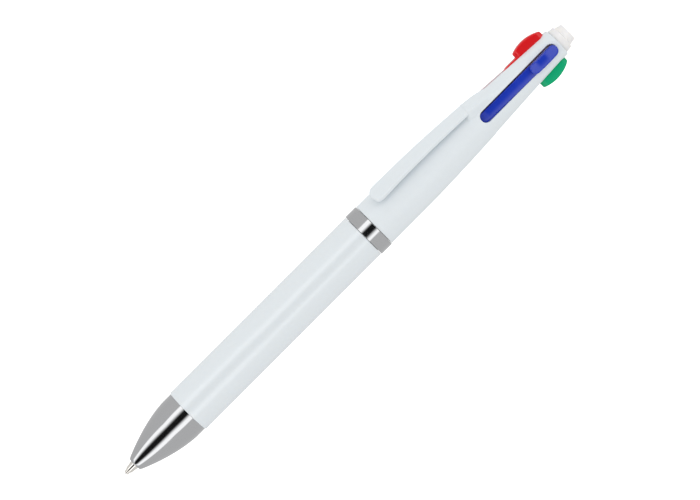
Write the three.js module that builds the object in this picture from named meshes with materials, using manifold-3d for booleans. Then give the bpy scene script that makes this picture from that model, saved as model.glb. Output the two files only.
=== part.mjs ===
// Multicolour click pen with four refills, as it lies on a table with its black refill out.
// Millimetres. Inside the pen group, x runs along the pen's axis from the writing ball at 0 to the end
// plug, and y and z are 0 on the axis. Each colour has its own side: blue +z, red +y, green -y, black -z.

import * as THREE from "three";
import { mergeVertices } from "three/addons/utils/BufferGeometryUtils.js";
import Module from "manifold-3d";

// ---------- driving dimensions ----------
const LENGTH = 147.8; // ball to end plug, with one refill out
const BARREL_R = 6.0;
const BARREL_BORE_R = 5.0;
const TRAVEL = 11; // stroke of a slider
const CLEAR = 0.3; // gap between pieces that rest on each other
const FIT = 0.1; // gap between turned pieces that fit into each other

const NOSE_FRONT = 3.2; // plane of the nose's mouth
const NOSE_END = 20.9;
const NOSE_R = 5.75;
const MOUTH_R = 1.42;
const MOUTH_RIM_R = 1.64;
const NOSE_BORE_R = 4.2;
const SPIGOT_END = 28;

const LOWER_START = 21.0;
const RING_START = 79.6;
const RING_END = 83.0;
const RING_R = 6.14;
const SEAM = 0.1; // shadow gap on each side of the ring

const TAPER_START = 93; // the upper barrel is straight up to here
const TAPER_END = 143.7;
const TAPER_END_R = 3.8;
const TAPER_END_SLOPE = -0.045;
const UPPER_END = 144.2;

const SLOT_START = 118.5;
const SLOT_END = 143.3;
const SLOT_WIDTH = 3.2;

const COUPLER_START = 70;
const COUPLER_END = 92;
const COUPLER_R = 4.8;
const COUPLER_BORE_R = 4.1;
const LEDGE_START = 74.4;
const LEDGE_END = 75.7;
const LEDGE_R = 3.95;

const GUIDE_START = 76;
const GUIDE_END = 79;
const GUIDE_HOLE_R = 1.1;
const LANE = 2.6; // distance of each refill from the pen's axis

const BUTTON_START = 134.5;
const BUTTON_END = 143.0;
const BUTTON_FACE_R = 5.55; // height of the button's front face over the axis
const BUTTON_TOP_R = 6.27;
const SLIDER_WIDTH = 2.9;
const SLIDER_INNER_R = 1.7;
const SLIDER_OUTER_R = 3.4;
const RAMP_START = 129.5;
const RAMP_TOP_R = 4.5;
const BLOCK_START = 107; // lower end of the slider's bar
const ROD_R = 0.8;
const PEG_R = 0.45;
const PEG_LENGTH = 4;

const PIVOT = 75.2; // rear end of a refill that is in
const TUBE_R = 1.175;
const TUBE_BORE_R = 0.8;
const TIP_LENGTH = 4.0; // visible part of the metal tip
const TIP_R = 1.18;
const NUB_R = 0.62;
const NUB_LENGTH = 1.0;
const TIP_SHOULDER_R = 0.85;
const TIP_SPIGOT_R = 0.74;
const TIP_SPIGOT_LENGTH = 4;
const BALL_R = 0.42;
const SOCKET_R = 0.47;
const BALL_OUT = 0.12; // how far the ball stands out of its nub
const INK_BORE_R = 0.22;

const COIL_R = 1.15;
const WIRE_R = 0.15;
const COIL_TURNS = 10;
const STEPS_PER_TURN = 7;
const WIRE_SIDES = 5;

const CLIP_TIP = 87.2;
const CLIP_BEND = 98; // straight from its tip to here, then curving in to the barrel
const CLIP_SPLIT = 116.4; // the arm flexes here, where it leaves the barrel
const CLIP_ROOT_END = 127;
const CLIP_TIP_TOP = 8.25; // distance of the clip's outer face from the axis
const CLIP_SPLIT_TOP = 7.2;
const CLIP_THICKNESS = 1.35;
const CLIP_TIP_WIDTH = 4.6;
const CLIP_ROOT_WIDTH = 3.5;
const PAD_END = 92; // the clip's gripping pad reaches from its tip to here
const PAD_DEPTH = 0.15;

const PLUG_COLLAR_END = 146.0;
const PLUG_COLLAR_R = [3.35, 3.0];
const PLUG_KNOB_R = [2.6, 2.15];
const CORE_R = 1.35;
const CORE_START = 112;
const LATCH_R = 1.5;
const LATCH_START = 117;
const LATCH_LENGTH = 1.5;

const TURNED = 24; // sides of the large turned pieces
const SMALL = 12; // sides of the small ones

const REFILL_LENGTH = PIVOT - TRAVEL;
const SWING = Math.asin(LANE / REFILL_LENGTH); // how far a refill leans when it is out
const FRONT = REFILL_LENGTH * (1 - Math.cos(SWING)); // where its ball then ends

// The origin is under the middle of the pen: it lies on the black button's crown, and the clip
// reaches out further on its side than the green button does on the other.
const AXIS_Z = BUTTON_TOP_R;
const AXIS_Y = -0.595;

// Turn about the pen's axis from the blue side to each colour's side.
const SIDES = [
  { name: "blue", turn: 0, colour: 0x2340b4, out: false },
  { name: "red", turn: -Math.PI / 2, colour: 0xd01c26, out: false },
  { name: "green", turn: Math.PI / 2, colour: 0x00a573, out: false },
  { name: "black", turn: Math.PI, colour: 0x17181a, out: true },
];
const CLIP_TURN = -Math.PI / 4;

// ---------- materials ----------
const plastic = (color, roughness = 0.3) => new THREE.MeshStandardMaterial({ color, roughness });
const metal = (color, roughness) => new THREE.MeshStandardMaterial({ color, roughness, metalness: 1 });
const WHITE = plastic(0xe4eaec);
const FROSTED = plastic(0xd9dad6, 0.5);
const GUIDE_WHITE = plastic(0xc9cdcc, 0.45);
const TUBE = plastic(0xd6d9d4, 0.35);
const CHROME = metal(0xaeb1b4, 0.08);
const STEEL = metal(0x9a9da0, 0.3);
const NICKEL = metal(0xb7ad98, 0.25);
const CARBIDE = metal(0x6e7073, 0.2);

// ---------- solids ----------
const wasm = await Module();
wasm.setup();

function signedVolume(position, index) {
  const [a, b, c] = [new THREE.Vector3(), new THREE.Vector3(), new THREE.Vector3()];
  let sum = 0;
  for (let i = 0; i < index.length; i += 3) {
    a.fromBufferAttribute(position, index[i]);
    b.fromBufferAttribute(position, index[i + 1]);
    c.fromBufferAttribute(position, index[i + 2]);
    sum += a.dot(b.cross(c));
  }
  return sum / 6;
}

// One closed skin with shared vertices, no collapsed triangles and its faces pointing out.
function weld(geometry) {
  const bare = geometry.clone();
  bare.deleteAttribute("normal");
  bare.deleteAttribute("uv");
  const merged = mergeVertices(bare, 1e-4);
  const all = merged.index.array;
  const index = [];
  for (let i = 0; i < all.length; i += 3) {
    const [a, b, c] = [all[i], all[i + 1], all[i + 2]];
    if (a !== b && b !== c && c !== a) index.push(a, b, c);
  }
  if (signedVolume(merged.attributes.position, index) < 0) index.reverse();
  merged.setIndex(index);
  return merged;
}

function solid(geometry) {
  const skin = weld(geometry);
  const vertProperties = Float32Array.from(skin.attributes.position.array);
  const triVerts = Uint32Array.from(skin.index.array);
  return new wasm.Manifold(new wasm.Mesh({ numProp: 3, vertProperties, triVerts }));
}

function skinOf(manifold) {
  const mesh = manifold.getMesh();
  const geometry = new THREE.BufferGeometry();
  geometry.setAttribute("position", new THREE.BufferAttribute(mesh.vertProperties, 3));
  geometry.setIndex(new THREE.BufferAttribute(mesh.triVerts, 1));
  geometry.computeVertexNormals();
  return geometry;
}

const points = (list) => list.map(([x, y]) => new THREE.Vector2(x, y));

// Turns an outline of [x, radius] points about the x axis. Flats, not edges, face the four sides.
function turned(outline, sides = TURNED) {
  const first = outline[0];
  const closed = first[1] === 0 ? outline : [...outline, first];
  const profile = closed.map(([x, r]) => new THREE.Vector2(r, x));
  const geometry = new THREE.LatheGeometry(profile, sides, Math.PI / sides);
  return weld(geometry.rotateZ(-Math.PI / 2).rotateX(Math.PI / 2));
}

// A side view of [x, z] points, as wide as width along y.
function slab(outline, width) {
  const shape = new THREE.Shape(points(outline));
  const geometry = new THREE.ExtrudeGeometry(shape, { depth: width, bevelEnabled: false });
  return geometry.translate(0, 0, -width / 2).rotateX(Math.PI / 2);
}

// A bar with round ends, seen from above, from z = low to z = high.
function stadium(start, end, width, low, high) {
  const r = width / 2;
  const shape = new THREE.Shape();
  shape.absarc(end - r, 0, r, -Math.PI / 2, Math.PI / 2, false);
  shape.absarc(start + r, 0, r, Math.PI / 2, (3 * Math.PI) / 2, false);
  const geometry = new THREE.ExtrudeGeometry(shape, {
    depth: high - low,
    bevelEnabled: false,
    curveSegments: 6,
  });
  return geometry.translate(0, 0, low);
}

// A round bar along a refill's lane.
function rod(start, end, radius) {
  const geometry = new THREE.CylinderGeometry(radius, radius, end - start, SMALL);
  return geometry.rotateZ(Math.PI / 2).translate((start + end) / 2, 0, LANE);
}

const steps = (count, make) => Array.from({ length: count + 1 }, (_, i) => make(i / count));

// The upper barrel's outer radius: straight, then one long curve to the end.
function taperRadius(x) {
  const length = TAPER_END - TAPER_START;
  const t = THREE.MathUtils.clamp((x - TAPER_START) / length, 0, 1);
  const fromStart = 2 * t ** 3 - 3 * t ** 2 + 1;
  const fromEnd = 3 * t ** 2 - 2 * t ** 3;
  const slope = (t ** 3 - t ** 2) * length * TAPER_END_SLOPE;
  return fromStart * BARREL_R + fromEnd * TAPER_END_R + slope;
}

// The nose's outer radius: a bullet shape that ends in a short straight land.
const noseRadius = (x) => NOSE_R + 0.01 - 0.0415 * (18.5 - x) ** 1.668;

// ---------- barrels and turned parts ----------
function noseCone() {
  const outer = steps(8, (t) => {
    const x = 3.8 + t * (18.4 - 3.8);
    return [x, noseRadius(x)];
  });
  return turned([
    [NOSE_FRONT, MOUTH_R],
    [NOSE_FRONT, MOUTH_RIM_R],
    ...outer,
    [NOSE_END - 0.2, NOSE_R],
    [NOSE_END, NOSE_R - 0.2],
    [NOSE_END, BARREL_BORE_R - FIT],
    [SPIGOT_END, BARREL_BORE_R - FIT],
    [SPIGOT_END, NOSE_BORE_R],
    [16, NOSE_BORE_R],
    [12, 3.75],
    [8, 2.75],
    [5, 1.95],
  ]);
}

function lowerBarrel() {
  const end = RING_START - SEAM;
  const chamfer = 0.15;
  return turned([
    [LOWER_START, BARREL_BORE_R],
    [LOWER_START, BARREL_R - chamfer],
    [LOWER_START + chamfer, BARREL_R],
    [end - chamfer, BARREL_R],
    [end, BARREL_R - chamfer],
    [end, BARREL_BORE_R],
  ]);
}

function centreRing() {
  const bevel = 0.14;
  const bore = COUPLER_R + 2 * FIT;
  return turned([
    [RING_START, bore],
    [RING_START, RING_R - bevel],
    [RING_START + bevel, RING_R],
    [RING_END - bevel, RING_R],
    [RING_END, RING_R - bevel],
    [RING_END, bore],
  ]);
}

function couplerSleeve() {
  return turned([
    [COUPLER_START, COUPLER_BORE_R],
    [COUPLER_START, COUPLER_R - 0.3],
    [COUPLER_START + 0.5, COUPLER_R],
    [COUPLER_END, COUPLER_R],
    [COUPLER_END, COUPLER_BORE_R],
    [LEDGE_END, COUPLER_BORE_R],
    [LEDGE_END, LEDGE_R],
    [LEDGE_START, LEDGE_R],
    [LEDGE_START, COUPLER_BORE_R],
  ]);
}

function refillGuide() {
  const radius = COUPLER_BORE_R - FIT;
  const disc = solid(
    turned([
      [GUIDE_START, 0],
      [GUIDE_START, radius],
      [GUIDE_END, radius],
      [GUIDE_END, 0],
    ]),
  );
  const hole = solid(rod(GUIDE_START - 1, GUIDE_END + 1, GUIDE_HOLE_R));
  const cut = SIDES.reduce((left, side) => {
    const degrees = THREE.MathUtils.radToDeg(side.turn);
    return left.subtract(hole.rotate([degrees, 0, 0]));
  }, disc);
  return skinOf(cut);
}

// The ridge that carries the clip: level with the arm at its lower end, then sloping into the barrel.
function clipRidge() {
  const start = CLIP_SPLIT + CLEAR;
  return slab(
    [
      [start, 3.8],
      [start, CLIP_SPLIT_TOP - 0.05],
      [118.6, 6.8],
      [121, 6.45],
      [124, 5.6],
      [CLIP_ROOT_END, 4.4],
      [CLIP_ROOT_END, 3.8],
    ],
    CLIP_ROOT_WIDTH - 0.3,
  );
}

function upperBarrel() {
  const start = RING_END + SEAM;
  const chamfer = 0.15;
  const shell = turned([
    [start, 0],
    [start, BARREL_R - chamfer],
    [start + chamfer, BARREL_R],
    ...steps(9, (t) => {
      const x = TAPER_START + t * (TAPER_END - TAPER_START);
      return [x, taperRadius(x)];
    }),
    [UPPER_END, TAPER_END_R - 0.3],
    [UPPER_END, 0],
  ]);
  const hollow = turned([
    [start - 1, 0],
    [start - 1, COUPLER_R + FIT],
    [COUPLER_END + FIT, COUPLER_R + FIT],
    [COUPLER_END + FIT, 4.5],
    [105, 4.4],
    [SLOT_START, 3.95],
    [127, 3.4],
    [135, 3.0],
    [UPPER_END + 1, 2.8],
    [UPPER_END + 1, 0],
  ]);
  const turn = THREE.MathUtils.radToDeg(CLIP_TURN);
  const ridge = solid(clipRidge()).rotate([turn, 0, 0]);
  const body = solid(shell).add(ridge).subtract(solid(hollow));
  const slot = solid(stadium(SLOT_START, SLOT_END, SLOT_WIDTH, 1, 8));
  const slotted = SIDES.reduce((left, side) => {
    const degrees = THREE.MathUtils.radToDeg(side.turn);
    return left.subtract(slot.rotate([degrees, 0, 0]));
  }, body);
  return skinOf(slotted);
}

function endPlug() {
  const spigotStart = BUTTON_END + 0.35;
  return turned(
    [
      [CORE_START, 0],
      [CORE_START, CORE_R - 0.4],
      [CORE_START + 0.6, CORE_R],
      [LATCH_START, CORE_R],
      [LATCH_START, LATCH_R],
      [LATCH_START + LATCH_LENGTH, LATCH_R],
      [LATCH_START + LATCH_LENGTH, CORE_R],
      [spigotStart, CORE_R],
      [spigotStart, 2.6],
      [UPPER_END + FIT, 2.6],
      [UPPER_END + FIT, PLUG_COLLAR_R[0]],
      [PLUG_COLLAR_END - 0.2, PLUG_COLLAR_R[1]],
      [PLUG_COLLAR_END, PLUG_COLLAR_R[1] - 0.2],
      [PLUG_COLLAR_END, PLUG_KNOB_R[0]],
      [LENGTH - 0.2, PLUG_KNOB_R[1]],
      [LENGTH, PLUG_KNOB_R[1] - 0.2],
      [LENGTH, 0],
    ],
    SMALL * 2,
  );
}

// The height of the clip's outer face over the axis.
function clipTop(x) {
  const bent = Math.max(x - CLIP_BEND, 0) / (CLIP_SPLIT - CLIP_BEND);
  return THREE.MathUtils.lerp(CLIP_TIP_TOP, CLIP_SPLIT_TOP, bent ** 1.6);
}

// The arm: an even strip with a round tip, standing off the barrel, with a flat gripping pad under it.
function clipArm() {
  const underside = CLIP_TIP_TOP - CLIP_THICKNESS;
  const bend = steps(5, (t) => THREE.MathUtils.lerp(CLIP_BEND, CLIP_SPLIT, t));
  const side = slab(
    [
      [CLIP_TIP, underside],
      [PAD_END, underside],
      [PAD_END + 0.5, underside + PAD_DEPTH],
      ...bend.map((x) => [x, clipTop(x) - CLIP_THICKNESS + PAD_DEPTH]),
      ...bend.toReversed().map((x) => [x, clipTop(x)]),
      [CLIP_TIP + 0.6, CLIP_TIP_TOP],
      [CLIP_TIP, CLIP_TIP_TOP - 0.35],
    ],
    CLIP_TIP_WIDTH + 1,
  );
  const tipR = CLIP_TIP_WIDTH / 2;
  const plan = new THREE.Shape();
  plan.absarc(CLIP_TIP + tipR, 0, tipR, Math.PI / 2, (3 * Math.PI) / 2, false);
  plan.lineTo(CLIP_SPLIT, -CLIP_ROOT_WIDTH / 2);
  plan.lineTo(CLIP_SPLIT, CLIP_ROOT_WIDTH / 2);
  const above = new THREE.ExtrudeGeometry(plan, { depth: 6, bevelEnabled: false, curveSegments: 8 });
  return skinOf(solid(side).intersect(solid(above.translate(0, 0, 4))));
}

// ---------- one colour's pieces, on the blue side ----------
// The bar inside, the ramp in the slot, the domed button, and the rod that pushes the refill.
function slider() {
  const bar = slab(
    [
      [BLOCK_START, SLIDER_INNER_R],
      [BUTTON_START + 1.5, SLIDER_INNER_R],
      [BUTTON_START + 1.5, RAMP_TOP_R],
      [BUTTON_START, RAMP_TOP_R],
      [RAMP_START, SLIDER_OUTER_R],
      [BLOCK_START, SLIDER_OUTER_R],
    ],
    SLIDER_WIDTH,
  );
  const crown = BUTTON_START + 3.7;
  const dome = slab(
    [
      [BUTTON_START, SLIDER_INNER_R],
      [BUTTON_END, SLIDER_INNER_R],
      [BUTTON_END, 4.8],
      [BUTTON_END - 1.1, 5.6],
      [BUTTON_END - 2.1, 5.95],
      [crown + 1, BUTTON_TOP_R],
      [crown - 1, BUTTON_TOP_R],
      [BUTTON_START + 0.9, 5.82],
      [BUTTON_START, BUTTON_FACE_R],
    ],
    SLIDER_WIDTH + 1,
  );
  const plan = stadium(BUTTON_START, BUTTON_END, SLIDER_WIDTH, 1, 8);
  const button = solid(dome).intersect(solid(plan));
  const push = solid(rod(PIVOT + CLEAR, BLOCK_START + 1, ROD_R));
  const peg = solid(rod(PIVOT - PEG_LENGTH, PIVOT + 1, PEG_R));
  return skinOf(solid(bar).add(button).add(push).add(peg));
}

// A refill's pieces are drawn along x from the pivot at its rear end, with the ball at -REFILL_LENGTH.
const TIP_END = -REFILL_LENGTH + TIP_LENGTH;

function refillTube() {
  const start = TIP_END + 0.05;
  return turned(
    [
      [start, TUBE_BORE_R],
      [start, TUBE_R],
      [0, TUBE_R],
      [0, TUBE_BORE_R],
    ],
    SMALL,
  );
}

function refillTip() {
  const ball = -REFILL_LENGTH;
  const spigotEnd = TIP_END + TIP_SPIGOT_LENGTH;
  return turned(
    [
      [ball + BALL_OUT, SOCKET_R],
      [ball + BALL_OUT, NUB_R - 0.08],
      [ball + BALL_OUT + 0.15, NUB_R],
      [ball + NUB_LENGTH, NUB_R],
      [ball + NUB_LENGTH, TIP_SHOULDER_R],
      [ball + TIP_LENGTH - 1, TIP_R],
      [TIP_END, TIP_R],
      [TIP_END, TIP_SPIGOT_R],
      [spigotEnd, TIP_SPIGOT_R],
      [spigotEnd, INK_BORE_R],
      [ball + NUB_LENGTH, INK_BORE_R],
      [ball + NUB_LENGTH - 0.05, SOCKET_R],
    ],
    SMALL,
  );
}

function refillBall() {
  return weld(new THREE.SphereGeometry(BALL_R, 10, 8).translate(BALL_R - REFILL_LENGTH, 0, 0));
}

class Helix extends THREE.Curve {
  constructor(start, end) {
    super();
    this.start = start;
    this.end = end;
  }

  getPoint(t) {
    const angle = t * COIL_TURNS * 2 * Math.PI;
    const x = THREE.MathUtils.lerp(this.start, this.end, t);
    return new THREE.Vector3(x, COIL_R * Math.sin(angle), LANE + COIL_R * Math.cos(angle));
  }
}

function spring(out) {
  const end = BLOCK_START - (out ? TRAVEL : 0) - CLEAR - WIRE_R;
  const section = steps(WIRE_SIDES - 1, (t) => {
    const angle = (t * (WIRE_SIDES - 1) * 2 * Math.PI) / WIRE_SIDES;
    return [WIRE_R * Math.cos(angle), WIRE_R * Math.sin(angle)];
  });
  const wire = new THREE.Shape(points(section));
  return weld(
    new THREE.ExtrudeGeometry(wire, {
      steps: COIL_TURNS * STEPS_PER_TURN,
      extrudePath: new Helix(GUIDE_END + CLEAR + WIRE_R, end),
      bevelEnabled: false,
    }),
  );
}

// ---------- the pen ----------
function piece(name, geometry, material) {
  const mesh = new THREE.Mesh(geometry, material);
  mesh.name = name;
  return mesh;
}

const pen = new THREE.Group();
pen.position.set(-(FRONT + LENGTH) / 2, AXIS_Y, AXIS_Z);
pen.add(
  piece("nose_cone", noseCone(), CHROME),
  piece("lower_barrel", lowerBarrel(), WHITE),
  piece("centre_ring", centreRing(), CHROME),
  piece("coupler_sleeve", couplerSleeve(), GUIDE_WHITE),
  piece("refill_guide", refillGuide(), GUIDE_WHITE),
  piece("upper_barrel", upperBarrel(), WHITE),
  piece("end_plug", endPlug(), FROSTED),
);

const clip = piece("clip_arm", clipArm(), WHITE);
clip.rotation.x = CLIP_TURN;
pen.add(clip);

for (const side of SIDES) {
  const ink = plastic(side.colour);
  const lane = new THREE.Group();
  lane.rotation.x = side.turn;

  const moving = new THREE.Group();
  moving.position.x = side.out ? -TRAVEL : 0;
  moving.add(piece(`slider_${side.name}`, slider(), ink));

  const refill = new THREE.Group();
  refill.position.set(PIVOT, 0, LANE);
  refill.rotation.y = side.out ? -SWING : 0;
  refill.add(
    piece(`refill_tube_${side.name}`, refillTube(), TUBE),
    piece(`refill_tip_${side.name}`, refillTip(), NICKEL),
    piece(`ball_${side.name}`, refillBall(), CARBIDE),
  );
  moving.add(refill);
  lane.add(moving, piece(`spring_${side.name}`, spring(side.out), STEEL));
  pen.add(lane);
}

const part = new THREE.Group();
part.add(pen);
export default part;
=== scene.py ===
"""A multicolour click pen: fine surfaces, materials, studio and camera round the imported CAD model.

Lengths are in millimetres in the pen's own frame until add() turns them into metres in the row frame.
There, u runs along the pen's axis from the writing ball to the end plug, and a side's angle goes round
the axis from the blue button (0) towards the red one (90 degrees).
"""
import math

import bmesh
import bpy
from mathutils import Matrix, Vector


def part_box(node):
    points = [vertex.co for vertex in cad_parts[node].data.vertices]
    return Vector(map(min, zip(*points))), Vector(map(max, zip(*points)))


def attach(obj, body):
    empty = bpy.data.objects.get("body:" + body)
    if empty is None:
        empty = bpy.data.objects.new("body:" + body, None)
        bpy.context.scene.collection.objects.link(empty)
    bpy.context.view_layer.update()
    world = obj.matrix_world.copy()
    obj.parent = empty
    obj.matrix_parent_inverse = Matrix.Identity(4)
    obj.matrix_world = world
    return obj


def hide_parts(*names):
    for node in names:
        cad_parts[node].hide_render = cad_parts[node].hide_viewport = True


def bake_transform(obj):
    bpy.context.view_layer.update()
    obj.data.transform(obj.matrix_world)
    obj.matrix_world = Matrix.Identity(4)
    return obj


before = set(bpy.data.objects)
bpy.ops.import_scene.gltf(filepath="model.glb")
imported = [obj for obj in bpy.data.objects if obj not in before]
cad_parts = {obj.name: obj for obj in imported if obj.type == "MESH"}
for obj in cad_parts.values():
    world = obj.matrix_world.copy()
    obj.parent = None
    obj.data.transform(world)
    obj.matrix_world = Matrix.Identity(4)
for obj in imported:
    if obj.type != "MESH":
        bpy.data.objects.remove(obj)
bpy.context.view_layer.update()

# ---------- the pen's frame ----------
MM = 0.001
PEN_LENGTH = 147.8
START_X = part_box("end_plug")[1].x - PEN_LENGTH * MM
RING_MIDDLE = (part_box("centre_ring")[0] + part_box("centre_ring")[1]) / 2
PEN_FRAME = Matrix.Translation((START_X, RING_MIDDLE.y, RING_MIDDLE.z)) @ Matrix.Scale(MM, 4)


def span(node):
    """Where a CAD node starts and ends along the pen, in millimetres."""
    low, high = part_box(node)
    return (low.x - START_X) / MM, (high.x - START_X) / MM


NOSE = span("nose_cone")
LOWER = span("lower_barrel")
RING = span("centre_ring")
UPPER = span("upper_barrel")
PLUG = span("end_plug")
COUPLER = span("coupler_sleeve")
GUIDE = span("refill_guide")
CLIP = span("clip_arm")
BUTTON_END = span("slider_blue")[1]

# ---------- sizes: millimetres and degrees ----------
BARREL_R = 6.0
BARREL_BORE_R = 5.0
COUPLER_R = 4.8
COUPLER_BORE_R = 4.1
RING_R = 6.14
RING_BORE_R = COUPLER_R + 0.2
EDGE_FILLET = 0.04  # where the white and the chrome pieces meet

NOSE_R = 5.75
NOSE_CURVE = (18.5, 0.0415, 1.668)  # where the bullet's curve ends, and its factor and power
NOSE_BULLET = (3.8, 18.4)  # the stretch that is drawn by the curve
NOSE_GAP = 0.03  # between the nose's shoulder and the lower barrel
NOSE_SPIGOT_R = BARREL_BORE_R - 0.1
NOSE_BORE_R = 4.2
MOUTH_R = 1.42
MOUTH_RIM_R = 1.72

TAPER = (93.0, 143.7)
TAPER_END_R = 3.8
TAPER_END_SLOPE = -0.045
STRAIGHT_MIDDLE = 88.0  # in the straight stretch before the taper
UPPER_END_R = 3.4
UPPER_BORE = [
    (UPPER[0], COUPLER_R + 0.1),
    (COUPLER[1] + 0.1, COUPLER_R + 0.1),
    (COUPLER[1] + 0.3, 4.5),
    (105.0, 4.4),
    (118.5, 3.95),
    (127.0, 3.4),
    (135.0, 3.0),
    (UPPER[1], 2.8),
]

SLOT = (118.2, BUTTON_END + 0.05)
SLOT_HALF = 1.54
SLOT_RIM = 0.1
QUARTER = (115.4, 143.62)  # where the slotted stretch starts and ends
ROUND_STEPS = 48  # along a slot's round end; half of them face the end of its quarter of the barrel
SIDE_STEPS = 30

CLIP_TOP = (8.36, 7.28)
CLIP_BEND = 98.0
CLIP_BEND_POWER = 1.6
CLIP_HALF = (2.3, 1.75)
CLIP_THICKNESS = 1.25
CLIP_PAD = (91.8, 92.6)  # the pad under the tip fades out here
CLIP_PAD_HEIGHT = 0.15
CLIP_TIP_POWER = 3.2  # 2 would be a half circle, and more is blunter
CLIP_ANGLE = 45.0
ROOT_SLOPE = 0.13  # how the root falls away behind the arm
ROOT_CURVE = 0.006
ROOT_FADE = (121.0, 127.6)  # where it melts into the barrel
ROOT_SIDES = (11.5, 25.5)  # degrees off its middle: still full, and gone

BUTTON_LENGTH = 8.5
BUTTON_HALF = 1.32
BUTTON_TOP_R = 6.21
BUTTON_CROWN = 3.6  # from its front end to its highest place
BUTTON_ARCH = 0.056
BUTTON_ROUNDING = 0.10
BAR_TOP_R = 4.02
RED_BAR_TOP_R = 4.42  # the red slider rocks outwards in its slot
BLOCK_TOP_R = 3.4
BAR_LENGTH = 27.5
SLIDER_INNER_R = 1.7
SLIDER_PLAY = 0.2  # each slider rests against one wall of its slot
ROD_LENGTH = 31.5
ROD_R = 0.8
PIN_LENGTH = 4.0  # the rod's thin end, which sits in the refill
PIN_R = 0.45

LANE = 2.6  # from the pen's axis to each refill's and push rod's own
TRAVEL = 11.0
REFILL_LENGTH = 64.2
REFILL_REAR = 75.2
LEAN = math.asin(LANE / REFILL_LENGTH)
TUBE_R = 1.175
TUBE_BORE_R = 0.8
INK_R = 0.78
TIP_LENGTH = 4.0
TIP_R = 1.18
SHANK_R = 0.74  # the tip's rear part, inside the tube
TIP_BORE_R = 0.22
SOCKET_R = 0.47
BALL_R = 0.42

SPRING_R = 1.15
SPRING_WIRE_R = 0.15
SPRING_TURNS = 13
SPRING_CLOSED = 1.5  # turns that lie close together at the start

THREAD_LEAD = 1.6
THREAD_HEIGHT = 0.16
THREAD = (COUPLER[0] + 0.8, RING[0] - 0.3)
RIB = (74.4, 75.7)  # inside the coupler, beside the guide disc
RIB_R = 3.95
GUIDE_R = COUPLER_BORE_R - 0.1
GUIDE_HOLE_R = 1.1

CORE_R = 1.35  # the plug's core between the sliders
CORE_RIDGE = (117.0, 118.5)
CORE_RIDGE_R = 1.5
PLUG_SPIGOT_R = 2.6
COLLAR_END = 145.9
COLLAR_R = (3.36, 3.15)
KNOB_R = (2.74, 2.34)
SHARP_ANGLE = 38

SIDES = {"blue": 0.0, "red": 90.0, "green": -90.0, "black": 180.0}

# ---------- studio: angles round the pen are from the camera's direction, towards the red button ----------
VIEW_ANGLE = 7.0  # the camera looks from this side of the blue button
CAMERA_DISTANCE = 750.0
PICTURE_WIDTH = 165.34  # at the pen
CAMERA_AIM = (74.92, 0.155)  # along the pen and across it
SENSOR = 36.0

PANEL_LEVEL = 1.7
WALL_LEVEL = 0.70
PANEL_EDGE = (35, 39)
TENT = [(-180, 0.94), (-90, 0.90), (-20, 0.97), (60, 1.03), (180, 0.97)]
CARD = (-30, -11, 7.5, 23)  # where it starts, is full, is still full and ends
CARD_REACH = (-7, 20)  # degrees along the pen
CARD_FADE = 9
CARD_COLOUR = (0.008, 0.008, 0.009, 1)
NOSE_CARD = (-26, -7, 11, 31)
NOSE_CARD_LEVEL = 0.01
NOSE_PANEL = (-41, -37, 40, 44)
NOSE_WIDENING = 0.62  # angles shrink to this share at the nose's front, so its stripes are wider there
NOSE_WIDENED = (-0.70, -0.30)  # how far forwards a ray points where that holds, and where it is gone
NOSE_SHEET_HEIGHT = 100.0
NOSE_SHEET_LENGTH = 320.0
NOSE_SHEET_HALF = 280.0

FLOOR_HALF = 1.2  # metres
FLOOR_GLOW = 0.75


# ---------- small maths ----------
def lerp(a, b, t):
    return a + (b - a) * t


def smooth(low, high, x):
    t = min(max((x - low) / (high - low), 0.0), 1.0)
    return t * t * (3 - 2 * t)


def turned_point(u, radius, degrees):
    a = math.radians(degrees)
    return (u, radius * math.sin(a), radius * math.cos(a))


def side_matrix(degrees):
    """Turns a piece that was drawn on the blue side round to another side."""
    return Matrix.Rotation(-math.radians(degrees), 4, "X")


def rounded(corners):
    """An outline of (u, r, fillet) corners as (u, r) points, with each corner rounded by its fillet."""
    steps = 5
    out = []
    for i, (u, r, fillet) in enumerate(corners):
        if not fillet:
            out.append((u, r))
            continue
        here = Vector((u, r))
        before = Vector(corners[i - 1][:2]) - here
        after = Vector(corners[(i + 1) % len(corners)][:2]) - here
        half = before.angle(after) / 2
        reach = min(fillet / math.tan(half), 0.48 * before.length, 0.48 * after.length)
        first = here + before.normalized() * reach
        last = here + after.normalized() * reach
        for k in range(steps + 1):
            t = k / steps
            p = first * (1 - t) ** 2 + here * 2 * t * (1 - t) + last * t ** 2
            out.append((p.x, p.y))
    return out


# ---------- meshes ----------
def add(name, verts, faces, material, body, slot, replaces=(), turn=0.0, merge=2e-4):
    """A piece from vertices and faces in the pen's frame, riding on a body and standing for CAD nodes."""
    mesh = bpy.data.meshes.new(name)
    mesh.from_pydata(verts, [], faces)
    bm = bmesh.new()
    bm.from_mesh(mesh)
    bmesh.ops.remove_doubles(bm, verts=bm.verts, dist=merge)
    bmesh.ops.dissolve_degenerate(bm, edges=bm.edges, dist=merge / 2)
    bmesh.ops.recalc_face_normals(bm, faces=bm.faces)
    bm.to_mesh(mesh)
    bm.free()
    mesh.transform(PEN_FRAME @ side_matrix(turn))
    mesh.shade_smooth()
    mesh.set_sharp_from_angle(angle=math.radians(SHARP_ANGLE))
    piece = bpy.data.objects.new(name, mesh)
    bpy.context.collection.objects.link(piece)
    mesh.materials.append(material)
    if body:
        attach(piece, body)
    if replaces:
        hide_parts(*replaces)
    return piece


def strips(rows, wrap=False):
    """Faces between rows of equal length. Rows close on themselves, and wrap joins the last to the first."""
    width = len(rows[0])
    verts = [v for row in rows for v in row]
    faces = []
    for i in range(len(rows) if wrap else len(rows) - 1):
        a, b = i * width, (i + 1) % len(rows) * width
        for j in range(width):
            k = (j + 1) % width
            faces.append((a + j, a + k, b + k, b + j))
    return verts, faces


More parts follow.
